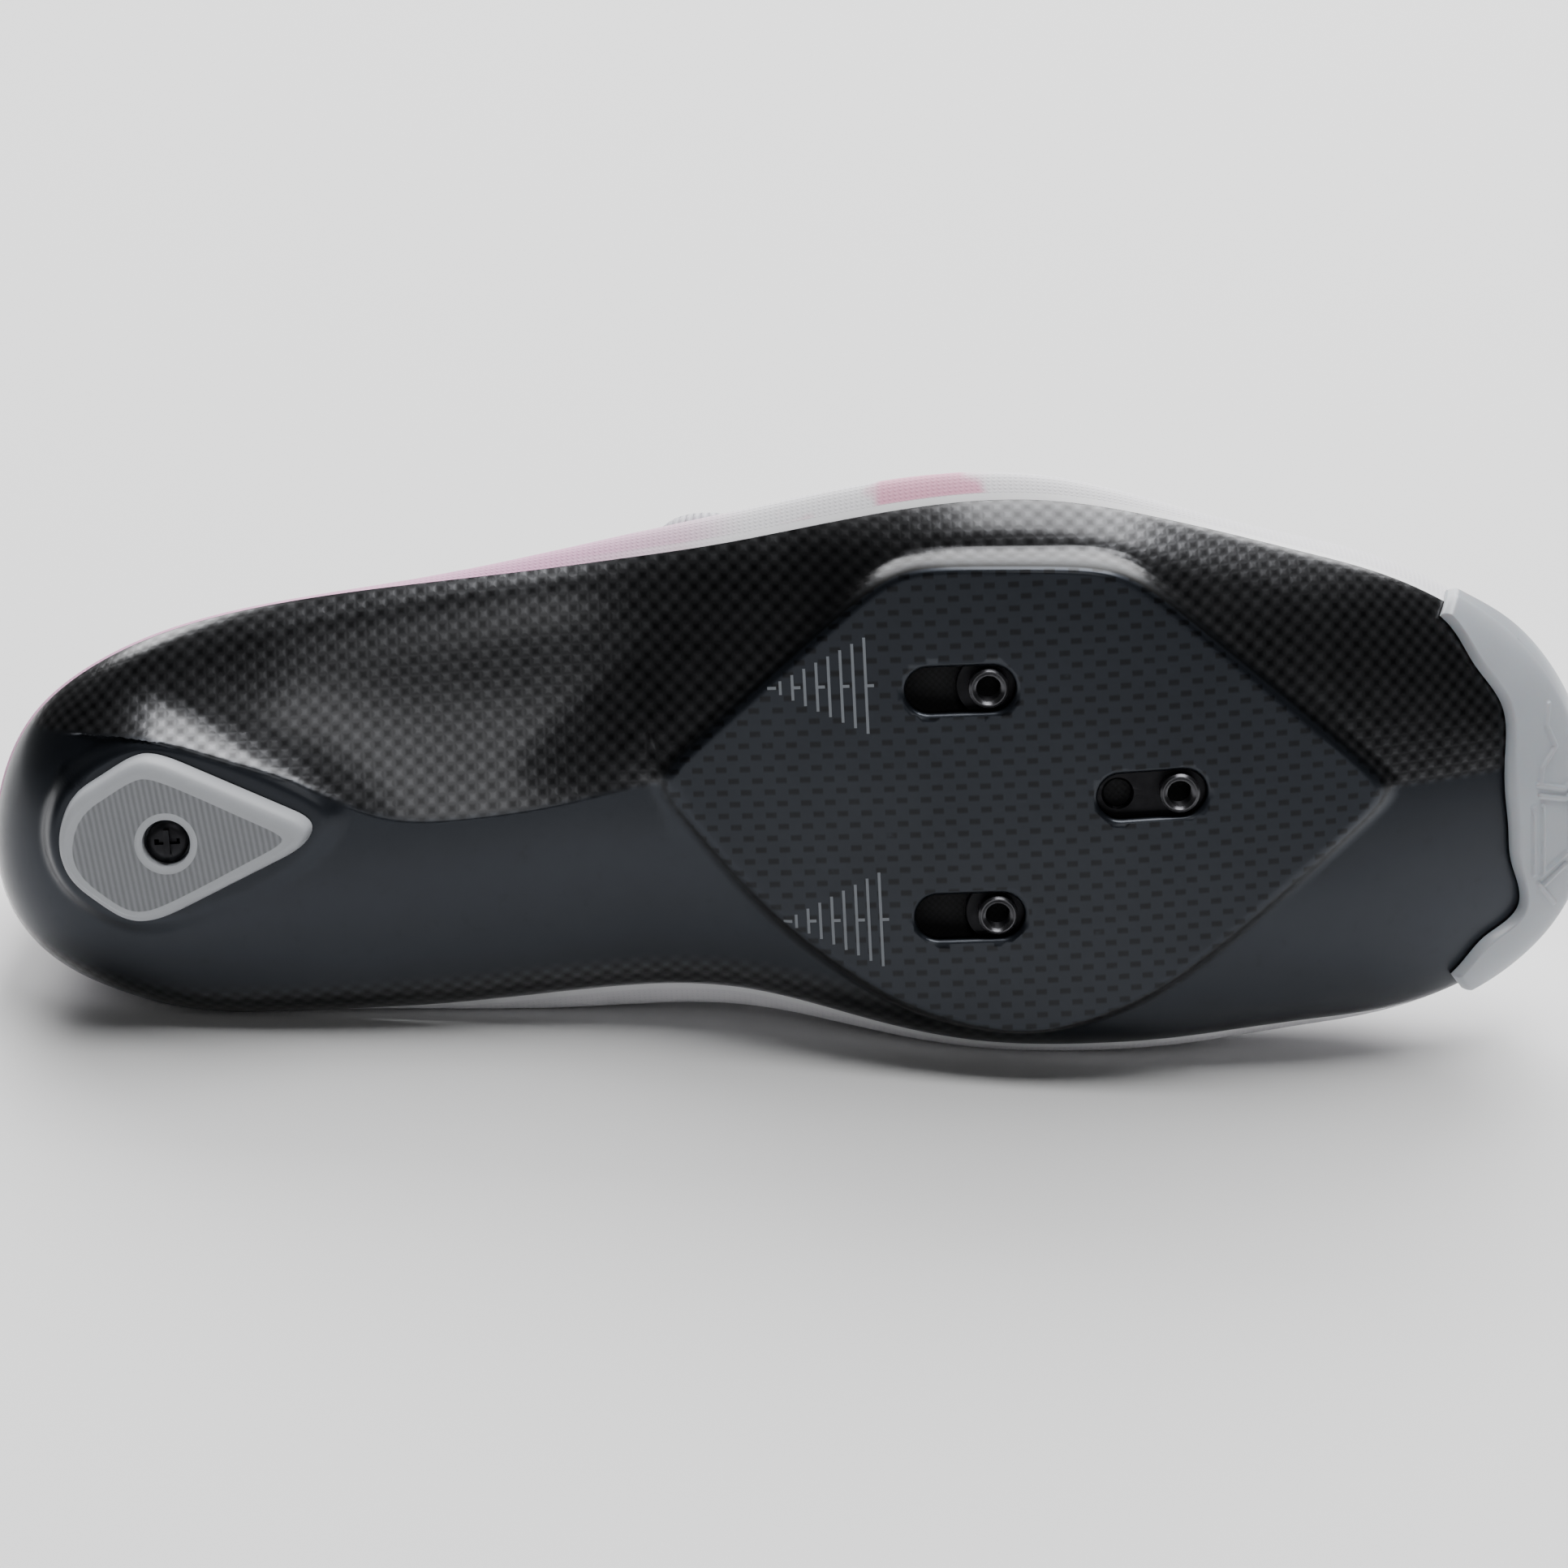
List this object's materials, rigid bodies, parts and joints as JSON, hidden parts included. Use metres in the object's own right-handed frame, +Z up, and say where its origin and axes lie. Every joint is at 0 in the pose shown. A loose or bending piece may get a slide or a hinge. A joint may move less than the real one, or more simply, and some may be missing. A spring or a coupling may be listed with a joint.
{
  "type": "cycling shoe",
  "caption": "Right road cycling shoe with a carbon sole, lying on its medial side, with cleat slots, a kite-shaped heel pad, a toe bumper and a pale knitted upper.",
  "frame": {"origin": "middle of the bounding box's base, on the floor the shoe lies on", "axes": "+X from heel to toe, +Y from the sole towards the foot, +Z up, which is the shoe's lateral side"},
  "size_m": [0.2832, 0.1104, 0.1007],
  "materials": {
    "carbon": "satin lacquer over woven carbon",
    "upper_knit": "fine white knit with pale pink shading",
    "insole_foam": "matt fabric over foam",
    "tongue_cloth": "padded knit",
    "pad_rubber": "matt, fine ribs",
    "screw_black": "black oxide",
    "bumper_rubber": "satin, slightly translucent",
    "nut_steel": "dark",
    "guide_plastic": "matt",
    "dial_grey": "satin, knurled edge",
    "lace_cord": "fine woven cord"
  },
  "bodies": {
    "shoe": {"outsole": "carbon", "upper": "upper_knit", "insole": "insole_foam", "tongue": "tongue_cloth", "heel_pad": "pad_rubber", "heel_screw": "screw_black", "toe_bumper": "bumper_rubber", "dial_base": "guide_plastic", "dial_knob": "dial_grey", "lace": "lace_cord", "lace_guide_medial_1": "guide_plastic", "lace_guide_lateral_1": "guide_plastic", "lace_guide_medial_2": "guide_plastic", "lace_guide_lateral_2": "guide_plastic", "lace_guide_medial_3": "guide_plastic"},
    "nut_rear_lateral": {"cleat_nut_rear_lateral": "nut_steel"},
    "nut_rear_medial": {"cleat_nut_rear_medial": "nut_steel"},
    "nut_front": {"cleat_nut_front": "nut_steel"}
  },
  "joints": [
    {"name": "slide_rear_lateral", "type": "slide", "parent": "shoe", "child": "nut_rear_lateral", "axis": [-0.9954, 0, -0.0958], "range_m": [0, 0.01]},
    {"name": "slide_rear_medial", "type": "slide", "parent": "shoe", "child": "nut_rear_medial", "axis": [-0.9954, 0, -0.0958], "range_m": [0, 0.01]},
    {"name": "slide_front", "type": "slide", "parent": "shoe", "child": "nut_front", "axis": [-0.9954, 0, -0.0958], "range_m": [0, 0.01]}
  ]
}
